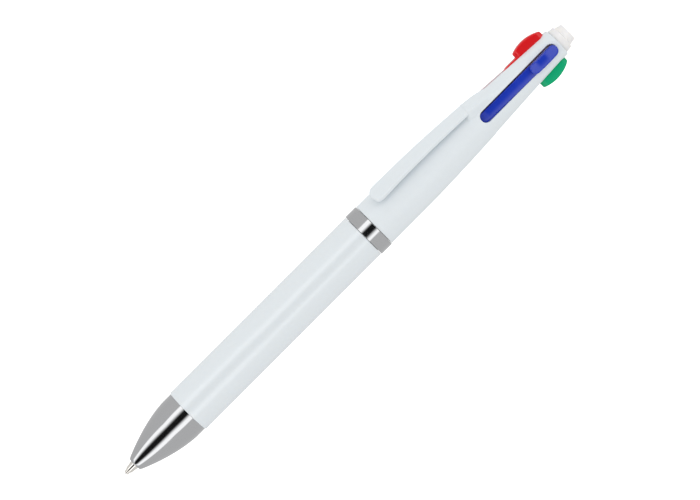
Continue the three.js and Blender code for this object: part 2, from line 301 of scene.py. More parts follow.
def turned_rows(outline, sides, lane=0.0):
    """An outline of (u, r) points turned about the axis, or about a line at height lane over it."""
    rows = []
    for u, r in outline:
        row = [turned_point(u, r, 360 * k / sides) for k in range(sides)]
        rows.append([(x, y, z + lane) for x, y, z in row])
    return rows


def lathe(outline, sides=128, lane=0.0):
    """A closed turned surface. An outline that keeps off the axis is joined end to start."""
    return strips(turned_rows(outline, sides, lane), wrap=outline[0][1] > 0)


def joined(*parts):
    verts, faces = [], []
    for v, f in parts:
        base = len(verts)
        verts += v
        faces += [tuple(i + base for i in face) for face in f]
    return verts, faces


def pillow(spine, top, bottom, top_fillet, bottom_fillet):
    """A pad with rounded edges. spine lists (u, du, dv, half): each point of its plan's edge is that far
    from (u, 0) along (du, dv). top and bottom give the height of its faces at (u, v)."""

    def ring(inset, height, drop):
        row = []
        for u, du, dv, half in spine:
            reach = max(half - inset, 0.0)
            x, y = u + du * reach, dv * reach
            row.append((x, y, height(x, y) + drop))
        return row

    def fillet(radius, height, sign):
        rows = []
        steps = 6
        for k in range(steps + 1):
            a = math.pi / 2 * k / steps
            rows.append(ring(radius * (1 - math.cos(a)), height, sign * radius * (1 - math.sin(a))))
        return rows

    widest = max(half for _, _, _, half in spine)
    tops = fillet(top_fillet, top, -1)
    lows = fillet(bottom_fillet, bottom, 1)
    inner = [top_fillet + (widest - top_fillet) * t for t in (0.2, 0.45, 0.75, 1.0)]
    under = [bottom_fillet + (widest - bottom_fillet) * t for t in (0.5, 1.0)]
    rows = [ring(d, bottom, 0) for d in reversed(under)] + lows[::-1] + tops
    rows += [ring(d, top, 0) for d in inner]
    return strips(rows)


def prism(outline, half, fillet):
    """A side view of (u, z) corners, half * 2 wide, with all its edges rounded."""
    bm = bmesh.new()
    near = [bm.verts.new((u, -half, z)) for u, z in outline]
    face = bm.faces.new(near)
    moved = bmesh.ops.extrude_face_region(bm, geom=[face])["geom"]
    far = [g for g in moved if isinstance(g, bmesh.types.BMVert)]
    bmesh.ops.translate(bm, verts=far, vec=(0, 2 * half, 0))
    bmesh.ops.recalc_face_normals(bm, faces=bm.faces)
    bmesh.ops.bevel(bm, geom=bm.edges[:], offset=fillet, segments=3, profile=0.5, affect="EDGES")
    verts = [tuple(v.co) for v in bm.verts]
    faces = [tuple(v.index for v in f.verts) for f in bm.faces]
    bm.free()
    return verts, faces


# ---------- materials ----------
PLASTIC_IOR = 1.49
BARREL_COLOUR = (0.79, 0.838, 0.866)


def nodes_of(name):
    material = bpy.data.materials.new(name)
    material.use_nodes = True
    tree = material.node_tree
    return material, tree, tree.nodes["Principled BSDF"]


def grain(tree, shader, size, depth, detail=3.0, stretch=(1, 1, 1)):
    """Fine unevenness: a noise whose features are size millimetres across, raised by depth millimetres."""
    coords = tree.nodes.new("ShaderNodeTexCoord")
    mapping = tree.nodes.new("ShaderNodeMapping")
    mapping.inputs["Scale"].default_value = stretch
    noise = tree.nodes.new("ShaderNodeTexNoise")
    noise.inputs["Scale"].default_value = 1 / (size * MM)
    noise.inputs["Detail"].default_value = detail
    bump = tree.nodes.new("ShaderNodeBump")
    bump.inputs["Distance"].default_value = depth * MM
    tree.links.new(coords.outputs["Object"], mapping.inputs["Vector"])
    tree.links.new(mapping.outputs["Vector"], noise.inputs["Vector"])
    tree.links.new(noise.outputs["Fac"], bump.inputs["Height"])
    tree.links.new(bump.outputs["Normal"], shader.inputs["Normal"])
    return noise


def vary(tree, noise, socket, low, high):
    """Lets a noise move one of the shader's numbers between two values."""
    spread = tree.nodes.new("ShaderNodeMapRange")
    spread.inputs["From Min"].default_value = 0.3
    spread.inputs["From Max"].default_value = 0.7
    spread.inputs["To Min"].default_value = low
    spread.inputs["To Max"].default_value = high
    tree.links.new(noise.outputs["Fac"], spread.inputs["Value"])
    tree.links.new(spread.outputs["Result"], socket)


def tint(tree, noise, socket, first, second):
    """Lets a noise drift a colour between two near ones."""
    mix = tree.nodes.new("ShaderNodeMix")
    mix.data_type = "RGBA"
    mix.inputs["A"].default_value = (*first, 1)
    mix.inputs["B"].default_value = (*second, 1)
    tree.links.new(noise.outputs["Fac"], mix.inputs["Factor"])
    tree.links.new(mix.outputs["Result"], socket)


def moulded(name, colour, roughness, shine=0.5, glow=0.0):
    """Injection-moulded plastic: a faint orange peel, and colour and gloss that drift a little."""
    material, tree, shader = nodes_of(name)
    noise = grain(tree, shader, size=0.9, depth=0.004)
    tint(tree, noise, shader.inputs["Base Color"], [c * 0.965 for c in colour], colour)
    vary(tree, noise, shader.inputs["Roughness"], roughness * 0.88, roughness * 1.12)
    shader.inputs["IOR"].default_value = PLASTIC_IOR
    shader.inputs["Specular IOR Level"].default_value = shine
    shader.inputs["Subsurface Weight"].default_value = glow
    shader.inputs["Subsurface Scale"].default_value = 0.8 * MM
    shader.inputs["Subsurface Radius"].default_value = (1.0, 0.9, 0.8)
    return material


def plated(name, colour, roughness):
    """Chrome plating: a near mirror with very shallow polishing waves."""
    material, tree, shader = nodes_of(name)
    noise = grain(tree, shader, size=2.2, depth=0.0006, detail=1.0, stretch=(0.35, 1, 1))
    tint(tree, noise, shader.inputs["Base Color"], [c * 0.98 for c in colour], colour)
    vary(tree, noise, shader.inputs["Roughness"], roughness * 0.8, roughness * 1.2)
    shader.inputs["Metallic"].default_value = 1.0
    return material


def machined(name, colour, roughness, pitch=0.12, depth=0.0012):
    """Turned metal: fine rings left by the tool, square to the pen's axis."""
    material, tree, shader = nodes_of(name)
    noise = grain(tree, shader, pitch, depth, detail=2.0, stretch=(1, 0.04, 0.04))
    tint(tree, noise, shader.inputs["Base Color"], [c * 0.9 for c in colour], colour)
    vary(tree, noise, shader.inputs["Roughness"], roughness * 0.8, roughness * 1.25)
    shader.inputs["Metallic"].default_value = 1.0
    return material


def milky(name, colour, roughness, clear):
    """Translucent unpigmented plastic."""
    material, tree, shader = nodes_of(name)
    noise = grain(tree, shader, size=0.5, depth=0.003)
    tint(tree, noise, shader.inputs["Base Color"], [c * 0.97 for c in colour], colour)
    vary(tree, noise, shader.inputs["Roughness"], roughness * 0.9, roughness * 1.15)
    shader.inputs["Subsurface Weight"].default_value = 0.5
    shader.inputs["Subsurface Scale"].default_value = 1.5 * MM
    shader.inputs["Subsurface Radius"].default_value = (1.0, 0.95, 0.85)
    shader.inputs["Transmission Weight"].default_value = clear
    shader.inputs["IOR"].default_value = PLASTIC_IOR
    return material


WHITE = moulded("white_plastic", BARREL_COLOUR, 0.20, shine=0.9, glow=0.1)
SATIN = moulded("satin_white_plastic", BARREL_COLOUR, 0.42, glow=0.1)
CHROME = plated("chrome", (0.55, 0.555, 0.565), 0.08)
FROSTED = milky("frosted_plastic", (0.93, 0.915, 0.905), 0.34, 0.04)
NATURAL = milky("natural_plastic", (0.66, 0.68, 0.67), 0.42, 0.05)
TUBE = milky("refill_tube_plastic", (0.74, 0.76, 0.74), 0.25, 0.55)
NICKEL = machined("nickel_silver", (0.90, 0.87, 0.82), 0.07, depth=0.0003)
STEEL = machined("spring_wire", (0.56, 0.56, 0.57), 0.25, pitch=0.3)
CARBIDE = machined("carbide", (0.10, 0.10, 0.11), 0.12, pitch=0.2)
COLOURS = {
    "blue": moulded("blue_plastic", (0.010, 0.038, 0.47), 0.15),
    "red": moulded("red_plastic", (0.74, 0.010, 0.014), 0.15, shine=0.4),
    "green": moulded("green_plastic", (0.0, 0.42, 0.18), 0.15, shine=0.2),
    "black": moulded("black_plastic", (0.012, 0.012, 0.013), 0.15),
}


# ---------- outer shells ----------
def taper_radius(u):
    """The upper barrel's radius: straight, then one long curve to the end."""
    length = TAPER[1] - TAPER[0]
    t = min(max((u - TAPER[0]) / length, 0.0), 1.0)
    start = 2 * t ** 3 - 3 * t ** 2 + 1
    end = 3 * t ** 2 - 2 * t ** 3
    slope = (t ** 3 - t ** 2) * length * TAPER_END_SLOPE
    return start * BARREL_R + end * TAPER_END_R + slope


def nose_radius(u):
    end, factor, power = NOSE_CURVE
    return NOSE_R + 0.01 - factor * (end - u) ** power


def make_nose():
    """The chrome bullet with its stepped bore, and the spigot that goes into the lower barrel."""
    steps = 36
    bullet = [lerp(*NOSE_BULLET, (k / steps) ** 1.2) for k in range(steps + 1)]  # closer at the front
    outline = rounded([
        (NOSE[0], MOUTH_R, 0.08),
        (NOSE[0], MOUTH_RIM_R, 0.2),
        *[(u, nose_radius(u), 0) for u in bullet],
        (LOWER[0] - NOSE_GAP, NOSE_R, 0.03),
        (LOWER[0] - NOSE_GAP, NOSE_SPIGOT_R, 0),
        (NOSE[1], NOSE_SPIGOT_R, 0.15),
        (NOSE[1], NOSE_BORE_R, 0.15),
        (16.0, NOSE_BORE_R, 1.0),
        (12.0, 3.75, 1.0),
        (8.0, 2.75, 1.0),
        (5.0, 1.95, 0.6),
    ])
    verts, faces = lathe(outline)
    add("nose_chrome", verts, faces, CHROME, "lower_body", "chrome_trim", ["nose_cone"])


def make_lower_barrel():
    outline = rounded([
        (LOWER[0], BARREL_BORE_R, 0.1),
        (LOWER[0], BARREL_R, 0.1),
        (LOWER[1], BARREL_R, EDGE_FILLET),
        (LOWER[1], BARREL_BORE_R, 0.2),
    ])
    verts, faces = lathe(outline)
    add("barrel_lower", verts, faces, WHITE, "lower_body", "white_barrel", ["lower_barrel"])


def make_ring():
    outline = rounded([
        (RING[0], RING_BORE_R, 0.1),
        (RING[0], RING_R, EDGE_FILLET),
        (RING[1], RING_R, EDGE_FILLET),
        (RING[1], RING_BORE_R, 0.1),
    ])
    verts, faces = lathe(outline)
    add("ring_chrome", verts, faces, CHROME, "ring", "chrome_trim", ["centre_ring"])


def clip_top(u):
    """How high the clip's outer face is over the axis, along its arm and on over its root."""
    bent = max(u - CLIP_BEND, 0) / (CLIP[1] - CLIP_BEND)
    if bent <= 1:
        return lerp(*CLIP_TOP, bent ** CLIP_BEND_POWER)
    return CLIP_TOP[1] - ROOT_SLOPE * (u - CLIP[1]) - ROOT_CURVE * (u - CLIP[1]) ** 2


def root_height(u, off):
    """How far the clip's root stands out of the barrel, off degrees from the clip's middle."""
    here = smooth(CLIP[1] - 0.5, CLIP[1] + 0.8, u) * (1 - smooth(*ROOT_FADE, u))
    side = 1 - smooth(*ROOT_SIDES, abs(off))
    if here * side == 0:
        return 0.0
    top = (clip_top(u) - 0.03) / math.cos(math.radians(off))
    return max(top - taper_radius(u), 0.0) * here * side


def upper_radius(u, degrees):
    off = (degrees - CLIP_ANGLE + 180) % 360 - 180
    return taper_radius(u) + root_height(u, off)


def bore_radius(u):
    for (u0, r0), (u1, r1) in zip(UPPER_BORE, UPPER_BORE[1:]):
        if u <= u1:
            return lerp(r0, r1, (u - u0) / (u1 - u0))
    return UPPER_BORE[-1][1]


def slot_loop():
    """Round one slot: (u, du, dv) of its edge, as for pillow, and the (u, angle) it faces on the
    edge of its quarter of the barrel."""
    low, high = SLOT[0] + SLOT_HALF, SLOT[1] - SLOT_HALF

    def facing(angle, middle, end):
        if abs(angle) <= 45:
            return end, angle
        return lerp(middle, end, (90 - abs(angle)) / 45), math.copysign(45, angle)

    loop = []
    for k in range(ROUND_STEPS):
        angle = -90 + 180 * k / ROUND_STEPS
        a = math.radians(angle)
        loop.append((high, math.cos(a), math.sin(a), *facing(angle, high, QUARTER[1])))
    for k in range(SIDE_STEPS):
        u = lerp(high, low, k / SIDE_STEPS)
        loop.append((u, 0.0, 1.0, u, 45.0))
    for k in range(ROUND_STEPS):
        angle = 90 - 180 * k / ROUND_STEPS
        a = math.radians(angle)
        loop.append((low, -math.cos(a), math.sin(a), *facing(angle, low, QUARTER[0])))
    for k in range(SIDE_STEPS):
        u = lerp(low, high, k / SIDE_STEPS)
        loop.append((u, 0.0, -1.0, u, -45.0))
    return loop


def slotted_quarter(middle):
    """A quarter of the barrel with its slot: outer skin, rounded rim, slot wall and bore, ring by ring."""
    loop = slot_loop()

    def ring(radius, offset, share, drop=0.0):
        row = []
        for u, du, dv, edge_u, edge_angle in loop:
            reach = SLOT_HALF + offset
            near_u, near_v = u + du * reach, dv * reach
            near_angle = math.degrees(math.asin(near_v / (radius(near_u, middle) - drop)))
            here_u = lerp(near_u, edge_u, share)
            degrees = middle + lerp(near_angle, edge_angle, share)
            row.append(turned_point(here_u, radius(here_u, degrees) - drop, degrees))
        return row

    def inside(u, _):
        return bore_radius(u)

    skin_steps, rim_steps, bore_steps = 20, 5, 5
    rows = [ring(upper_radius, SLOT_RIM, 1 - k / skin_steps) for k in range(skin_steps + 1)]
    for k in range(1, rim_steps + 1):
        a = math.pi / 2 * k / rim_steps
        rows.append(ring(upper_radius, SLOT_RIM * (1 - math.sin(a)), 0, SLOT_RIM * (1 - math.cos(a))))
    rows += [ring(inside, 0, k / bore_steps) for k in range(bore_steps + 1)]
    return strips(rows)


def make_upper_barrel():
    """Both plain ends, whose bore and skin meet the edges of the four slotted quarters between them."""
    taper_steps = 14
    taper = [lerp(TAPER[0], QUARTER[0], k / taper_steps) for k in range(taper_steps + 1)]
    low = rounded([
        (QUARTER[0], bore_radius(QUARTER[0]), 0),
        *[(u, r, 0) for u, r in UPPER_BORE[3:0:-1]],
        (*UPPER_BORE[0], 0.15),
        (UPPER[0], BARREL_R, EDGE_FILLET),
        (STRAIGHT_MIDDLE, BARREL_R, 0),
        *[(u, taper_radius(u), 0) for u in taper],
    ])
    high = rounded([
        (QUARTER[1], taper_radius(QUARTER[1]), 0),
        (UPPER[1] - 0.1, taper_radius(UPPER[1]), 0.35),
        (UPPER[1], UPPER_END_R, 0.15),
        (*UPPER_BORE[-1], 0.1),
        (QUARTER[1], bore_radius(QUARTER[1]), 0),
    ])
    ends = [strips(turned_rows(outline, sides=ROUND_STEPS * 2)) for outline in (low, high)]
    quarters = [slotted_quarter(middle) for middle in (0.0, 90.0, 180.0, 270.0)]
    verts, faces = joined(*ends, *quarters)
    add("barrel_upper", verts, faces, SATIN, "upper_body", "white_barrel", ["upper_barrel"], merge=1e-3)


def make_plug():
    """The core between the sliders, the spigot in the barrel's end, and the collar and knob outside."""
    spigot = BUTTON_END + 0.35
    collar = UPPER[1] + 0.02
    corners = [
        (PLUG[0], 0.95, 0.2),
        (PLUG[0] + 0.6, CORE_R, 0.2),
        (CORE_RIDGE[0], CORE_R, 0),
        (CORE_RIDGE[0], CORE_RIDGE_R, 0.08),
        (CORE_RIDGE[1], CORE_RIDGE_R, 0.08),
        (CORE_RIDGE[1], CORE_R, 0),
        (spigot, CORE_R, 0.2),
        (spigot, PLUG_SPIGOT_R, 0.1),
        (collar, PLUG_SPIGOT_R, 0),
        (collar, COLLAR_R[0], 0.03),
        (COLLAR_END, COLLAR_R[1], 0.2),
        (COLLAR_END + 0.1, KNOB_R[0], 0.12),
        (PEN_LENGTH, KNOB_R[1], 0.22),
    ]
    outline = rounded([(PLUG[0], 0.0, 0), *corners, (PEN_LENGTH, 0.0, 0)])
    verts, faces = lathe(outline, sides=96)
    add("plug_frosted", verts, faces, FROSTED, "upper_body", "frosted_plug", ["end_plug"])


def make_clip():
    """The arm, from its round tip to an end that sinks into the root on the barrel."""
    tip = CLIP[0] + CLIP_HALF[0]
    root = CLIP[1] + 2.6
    root_half = CLIP_HALF[1] - 0.06
    tip_steps, side_steps, root_steps = 24, 40, 16
    spine = []
    for k in range(tip_steps):
        a = math.pi / 2 + math.pi * k / tip_steps
        du, dv = math.cos(a), math.sin(a)
        blunt = (abs(du) ** CLIP_TIP_POWER + abs(dv) ** CLIP_TIP_POWER) ** (-1 / CLIP_TIP_POWER)
        spine.append((tip, du, dv, CLIP_HALF[0] * blunt))
    for k in range(side_steps):
        t = k / side_steps
        spine.append((lerp(tip, root, t), 0.0, -1.0, lerp(CLIP_HALF[0], root_half, t)))
    for k in range(root_steps):
        a = -math.pi / 2 + math.pi * k / root_steps
        spine.append((root, math.cos(a), math.sin(a), root_half))
    for k in range(side_steps):
        t = k / side_steps
        spine.append((lerp(root, tip, t), 0.0, 1.0, lerp(root_half, CLIP_HALF[0], t)))

    def top(u, v):
        crown = 0.1 * (v / CLIP_HALF[0]) ** 2
        sink = 0.6 * smooth(CLIP[1] + 0.3, CLIP[1] + 3.5, u)
        tip_drop = 0.25 * (1 - smooth(CLIP[0], CLIP[0] + 2.2, u)) ** 2
        return clip_top(u) - crown - sink - tip_drop

    def bottom(u, _):
        thinner = CLIP_PAD_HEIGHT * smooth(*CLIP_PAD, u)
        buried = 1.6 * smooth(CLIP[1] + 0.3, CLIP[1] + 1.5, u)
        return clip_top(min(u, CLIP[1])) - CLIP_THICKNESS + thinner - buried

    verts, faces = pillow(spine, top, bottom, 0.42, 0.25)
    blade = add("clip_blade", verts, faces, SATIN, None, "white_barrel", ["clip_arm"], turn=CLIP_ANGLE)
    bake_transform(blade)


# ---------- sliders, springs and refills ----------
def button(start, end):
    """The domed button, round at both ends."""
    low, high = start + BUTTON_HALF, end - BUTTON_HALF
    round_steps, side_steps = 24, 20
    spine = []
    for k in range(round_steps):
        a = math.pi / 2 + math.pi * k / round_steps
        spine.append((low, math.cos(a), math.sin(a), BUTTON_HALF))
    for k in range(side_steps):
        spine.append((lerp(low, high, k / side_steps), 0.0, -1.0, BUTTON_HALF))
    for k in range(round_steps):
        a = -math.pi / 2 + math.pi * k / round_steps
        spine.append((high, math.cos(a), math.sin(a), BUTTON_HALF))
    for k in range(side_steps):
        spine.append((lerp(high, low, k / side_steps), 0.0, 1.0, BUTTON_HALF))

    def top(u, v):
        along = u - (start + BUTTON_CROWN)
        return BUTTON_TOP_R - BUTTON_ARCH * along ** 2 - BUTTON_ROUNDING * (v / BUTTON_HALF) ** 2

    def bottom(_u, _v):
        return SLIDER_INNER_R

    return pillow(spine, top, bottom, 0.3, 0.1)


def bar(start, block, bar_top):
    """The bar in the slot: level under the button, then down a ramp to the block that the spring pushes."""
    side_view = [
        (block, SLIDER_INNER_R),
        (start + 1.5, SLIDER_INNER_R),
        (start + 1.5, bar_top),
        (start - 3.2, bar_top),
        (start - 4.8, 3.87),
        (start - 14.0, 3.72),
        (start - 16.5, BLOCK_TOP_R),
        (block, BLOCK_TOP_R),
    ]
    return prism(side_view, BUTTON_HALF, 0.16)


def push_rod(block):
    """The rod from the block to the refill, with the thin pin that sits in the refill's tube."""
    pivot = block - ROD_LENGTH
    outline = rounded([
        (pivot - PIN_LENGTH, 0.0, 0),
        (pivot - PIN_LENGTH, PIN_R, 0.15),
        (pivot, PIN_R, 0),
        (pivot, ROD_R, 0.1),
        (block + 1.0, ROD_R, 0),
        (block + 1.0, 0.0, 0),
    ])
    return lathe(outline, sides=32, lane=LANE)


def make_slider(colour):
    """The button, its bar in the slot, and the rod that pushes the refill."""
    end = BUTTON_END - (TRAVEL if colour == "black" else 0.0)
    start = end - BUTTON_LENGTH
    block = start - BAR_LENGTH
    bar_top = RED_BAR_TOP_R if colour == "red" else BAR_TOP_R
    verts, faces = joined(button(start, end), bar(start, block, bar_top))
    verts = [(x, y - SLIDER_PLAY, z) for x, y, z in verts]
    verts, faces = joined((verts, faces), push_rod(block))
    add(
        f"button_{colour}", verts, faces, COLOURS[colour], f"slide_{colour}", f"{colour}_button",
        [f"slider_{colour}"], turn=SIDES[colour],
    )


def make_spring(colour):
    """The coil round the push rod, drawn over the CAD spring's length between the guide and the slider's
    block.
    """
    low, high = span(f"spring_{colour}")
    wire = SPRING_WIRE_R
    per_turn, around = 28, 10
    rows = []
    for k in range(SPRING_TURNS * per_turn + 1):
        turn = k / per_turn
        rise = 0.5 + (turn - SPRING_CLOSED) if turn > SPRING_CLOSED else turn * 0.33
        t = rise / (SPRING_TURNS - SPRING_CLOSED + 0.5)
        u = lerp(low + wire, high - wire, min(t, 1.0))
        a = 2 * math.pi * turn
        out = Vector((0, math.sin(a), math.cos(a)))
        centre = Vector((u, SPRING_R * math.sin(a), LANE + SPRING_R * math.cos(a)))
        row = []
        for j in range(around):
            b = 2 * math.pi * j / around
            point = centre + out * wire * math.cos(b) + Vector((wire * math.sin(b), 0, 0))
            row.append(tuple(point))
        rows.append(row)
    verts, faces = strips(rows)
    faces += [tuple(range(around)), tuple(range(len(verts) - around, len(verts)))]
    piece = add(
        f"coil_{colour}", verts, faces, STEEL, None, "spring_steel", [f"spring_{colour}"],
        turn=SIDES[colour],
    )
    turn = PEN_FRAME @ side_matrix(SIDES[colour])
    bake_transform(piece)


def make_refill(colour):
    """Tube with its ink, metal tip and ball, drawn along the lane and leaned in if it is out."""
    out = colour == "black"
    rear = REFILL_REAR - (TRAVEL if out else 0.0)
    ball = -REFILL_LENGTH
    tip_end = ball + TIP_LENGTH
    shank_end = tip_end + TIP_LENGTH
    tube = rounded([
        (tip_end + 0.05, TUBE_BORE_R, 0),
        (tip_end + 0.05, TUBE_R, 0.08),
        (0.0, TUBE_R, 0.1),
        (0.0, TUBE_BORE_R, 0.05),
    ])
    ink = rounded([
        (tip_end + 4.2, 0.0, 0),
        (tip_end + 4.2, INK_R, 0.1),
        (-9.0, INK_R, 0.3),
        (-8.7, 0.0, 0),
    ])
    tip = rounded([
        (ball + 0.14, SOCKET_R, 0.02),
        (ball + 0.14, 0.56, 0.05),
        (ball + 0.5, 0.62, 0.2),
        (ball + 0.95, 0.64, 0.08),
        (ball + 1.05, 0.85, 0.06),
        (ball + 3.0, TIP_R, 0.3),
        (tip_end, TIP_R, 0.05),
        (tip_end, SHANK_R, 0),
        (shank_end, SHANK_R, 0.1),
        (shank_end, TIP_BORE_R, 0.05),
        (ball + 1.0, TIP_BORE_R, 0.05),
        (ball + 0.95, SOCKET_R, 0.1),
    ])
    steps = 14
    sphere = [(ball, 0.0)]
    for k in range(1, steps):
        a = math.pi * k / steps
        sphere.append((ball + BALL_R * (1 - math.cos(a)), BALL_R * math.sin(a)))
    sphere.append((ball + 2 * BALL_R, 0.0))
    lean = Matrix.Translation((rear, 0, LANE)) @ Matrix.Rotation(-LEAN if out else 0.0, 4, "Y")

    def piece(name, outline, sides, material, body, slot, node):
        verts, faces = lathe(outline, sides)
        verts = [tuple(lean @ Vector(v)) for v in verts]
        replaced = [node] if node else []
        add(name, verts, faces, material, body, slot, replaced, turn=SIDES[colour])

    body = f"refill_{colour}"
    piece(f"tube_{colour}", tube, 40, TUBE, body, "refill_tube", f"refill_tube_{colour}")
    piece(f"ink_{colour}", ink, 32, COLOURS[colour], body, f"{colour}_button", None)
    piece(f"tip_{colour}", tip, 64, NICKEL, body, "tip_metal", f"refill_tip_{colour}")
    point = f"point_{colour}"
    piece(f"writing_ball_{colour}", sphere, 32, CARBIDE, point, "ball_carbide", f"ball_{colour}")


# ---------- inner parts ----------
def make_coupler():
    """The joiner, with the raised thread that the lower barrel turns off along."""
    sides = 96
    chamfer = 0.35
    root_r = COUPLER_R - 0.04
    steps = int((THREAD[1] - THREAD[0]) / THREAD_LEAD * 12)
    outline = [
        (COUPLER[0], COUPLER_BORE_R),
        (COUPLER[0], COUPLER_R - chamfer),
        (COUPLER[0] + chamfer, root_r),
        *[(lerp(*THREAD, k / steps), root_r) for k in range(steps + 1)],
        (COUPLER[1], COUPLER_R),
        (COUPLER[1], COUPLER_BORE_R),
        (RIB[1], COUPLER_BORE_R),
        (RIB[1], RIB_R),
        (RIB[0], RIB_R),
        (RIB[0], COUPLER_BORE_R),
    ]
    rows = []
    for u, r in outline:
        fade = smooth(THREAD[0], THREAD[0] + 0.8, u) * (1 - smooth(THREAD[1] - 0.8, THREAD[1], u))
        outside = r > COUPLER_BORE_R + 0.1
        row = []
        for k in range(sides):
            degrees = 360 * k / sides
            wave = (u / THREAD_LEAD - degrees / 360) % 1
            ridge = smooth(0.0, 0.25, wave) * (1 - smooth(0.35, 0.6, wave))
            raised = THREAD_HEIGHT * ridge * fade if outside else 0.0
            row.append(turned_point(u, r + raised, degrees))
        rows.append(row)
    verts, faces = strips(rows, wrap=True)
    add("joiner", verts, faces, NATURAL, "upper_body", "inner_plastic", ["coupler_sleeve"])


def make_guide():
    """The disc that holds the refills apart, with a hole cut for each."""
    disc = lathe(rounded([
        (GUIDE[0], 0.0, 0),
        (GUIDE[0], GUIDE_R, 0.2),
        (GUIDE[1], GUIDE_R, 0.2),
        (GUIDE[1], 0.0, 0),
    ]))
    piece = add("guide_disc", *disc, NATURAL, "upper_body", "inner_plastic", ["refill_guide"])
    low, high = GUIDE[0] - 1, GUIDE[1] + 1
    hole = lathe([(low, 0.0), (low, GUIDE_HOLE_R), (high, GUIDE_HOLE_R), (high, 0.0)], sides=40, lane=LANE)
    for colour, degrees in SIDES.items():
        cutter = add(f"cutter_{colour}", *hole, NATURAL, None, "inner_plastic", turn=degrees)
        cut = piece.modifiers.new(colour, "BOOLEAN")
        cut.operation = "DIFFERENCE"
        cut.object = cutter
        cut.solver = "EXACT"
    bpy.context.view_layer.update()
    graph = bpy.context.evaluated_depsgraph_get()
    mesh = bpy.data.meshes.new_from_object(piece.evaluated_get(graph))
    piece.modifiers.clear()
    piece.data = mesh
    for colour in SIDES:
        bpy.data.objects.remove(bpy.data.objects[f"cutter_{colour}"])


# ---------- studio ----------
def make_floor():
    """A pale sheet under the pen, bright enough to hide all but the softest shadow."""
    half = FLOOR_HALF
    mesh = bpy.data.meshes.new("floor")
    corners = [(-half, -half, 0), (half, -half, 0), (half, half, 0), (-half, half, 0)]
    mesh.from_pydata(corners, [], [(0, 1, 2, 3)])
    floor = bpy.data.objects.new("floor", mesh)
    bpy.context.collection.objects.link(floor)
    material, tree, shader = nodes_of("floor_sheet")
    noise = grain(tree, shader, size=3.0, depth=0.01)
    tint(tree, noise, shader.inputs["Base Color"], (0.9, 0.9, 0.9), (0.92, 0.92, 0.92))
    shader.inputs["Roughness"].default_value = 0.9
    shader.inputs["Specular IOR Level"].default_value = 0.0
    shader.inputs["Emission Color"].default_value = (1, 1, 1, 1)
    shader.inputs["Emission Strength"].default_value = FLOOR_GLOW
    mesh.materials.append(material)
    floor.visible_glossy = False
    floor.visible_diffuse = False


def ramp_of(tree, stops):
    """A ramp of greys whose stops are (degrees round the pen from the camera's direction, level)."""
    node = tree.nodes.new("ShaderNodeValToRGB")
    node.color_ramp.interpolation = "EASE"
    while len(node.color_ramp.elements) < len(stops):
        node.color_ramp.elements.new(0.5)
    for element, (degrees, level) in zip(node.color_ramp.elements, stops):
        element.position = 0.5 + degrees / 360
        element.color = (level, level, level, 1)
    return node


def blend_of(tree, factor, first, second):
    """The first colour where the factor is 0, and the second where it is 1."""
    node = tree.nodes.new("ShaderNodeMix")
    node.data_type = "RGBA"
    tree.links.new(factor, node.inputs["Factor"])
    tree.links.new(first, node.inputs["A"])
    tree.links.new(second, node.inputs["B"])
    return node.outputs["Result"]


def make_world():
    """A white tent. In reflections it is grey, with a wide white panel over the pen, and in the middle
    of that a black card, where the camera looks through. The card ends a little way off to each side
    along the pen."""
    world = bpy.data.worlds.new("studio")
    bpy.context.scene.world = world
    world.use_nodes = True
    tree = world.node_tree
    tree.nodes.clear()
    coords = tree.nodes.new("ShaderNodeTexCoord")
    split = tree.nodes.new("ShaderNodeSeparateXYZ")
    angle = tree.nodes.new("ShaderNodeMath")
    angle.operation = "ARCTAN2"
    round_pen = tree.nodes.new("ShaderNodeMapRange")
    round_pen.inputs["From Min"].default_value = math.radians(VIEW_ANGLE - 180)
    round_pen.inputs["From Max"].default_value = math.radians(VIEW_ANGLE + 180)
    round_pen.clamp = False
    tree.links.new(coords.outputs["Generated"], split.inputs["Vector"])
    tree.links.new(split.outputs["Y"], angle.inputs[0])
    tree.links.new(split.outputs["Z"], angle.inputs[1])
    tree.links.new(angle.outputs["Value"], round_pen.inputs["Value"])

    panel = ramp_of(tree, [
        (-PANEL_EDGE[1], WALL_LEVEL), (-PANEL_EDGE[0], PANEL_LEVEL),
        (PANEL_EDGE[0], PANEL_LEVEL), (PANEL_EDGE[1], WALL_LEVEL),
    ])
    card = ramp_of(tree, list(zip(CARD, (0.0, 1.0, 1.0, 0.0))))
    tent = ramp_of(tree, TENT)
    for node in (panel, card, tent):
        tree.links.new(round_pen.outputs["Result"], node.inputs["Fac"])

    on_card = card.outputs["Color"]
    for full, fade in zip(CARD_REACH, (-CARD_FADE, CARD_FADE)):
        end = tree.nodes.new("ShaderNodeMapRange")
        end.interpolation_type = "SMOOTHSTEP"
        end.inputs["From Min"].default_value = math.sin(math.radians(full + fade))
        end.inputs["From Max"].default_value = math.sin(math.radians(full))
        both = tree.nodes.new("ShaderNodeMath")
        both.operation = "MULTIPLY"
        tree.links.new(split.outputs["X"], end.inputs["Value"])
        tree.links.new(on_card, both.inputs[0])
        tree.links.new(end.outputs["Result"], both.inputs[1])
        on_card = both.outputs["Value"]
    black = tree.nodes.new("ShaderNodeRGB")
    black.outputs["Color"].default_value = CARD_COLOUR
    white = tree.nodes.new("ShaderNodeRGB")
    white.outputs["Color"].default_value = (1, 1, 1, 1)

    path = tree.nodes.new("ShaderNodeLightPath")
    mirrored = blend_of(tree, on_card, panel.outputs["Color"], black.outputs["Color"])
    lit = blend_of(tree, path.outputs["Is Glossy Ray"], tent.outputs["Color"], mirrored)
    seen = blend_of(tree, path.outputs["Is Camera Ray"], lit, white.outputs["Color"])
    background = tree.nodes.new("ShaderNodeBackground")
    tree.links.new(seen, background.inputs["Color"])
    output = tree.nodes.new("ShaderNodeOutputWorld")
    tree.links.new(background.outputs["Background"], output.inputs["Surface"])


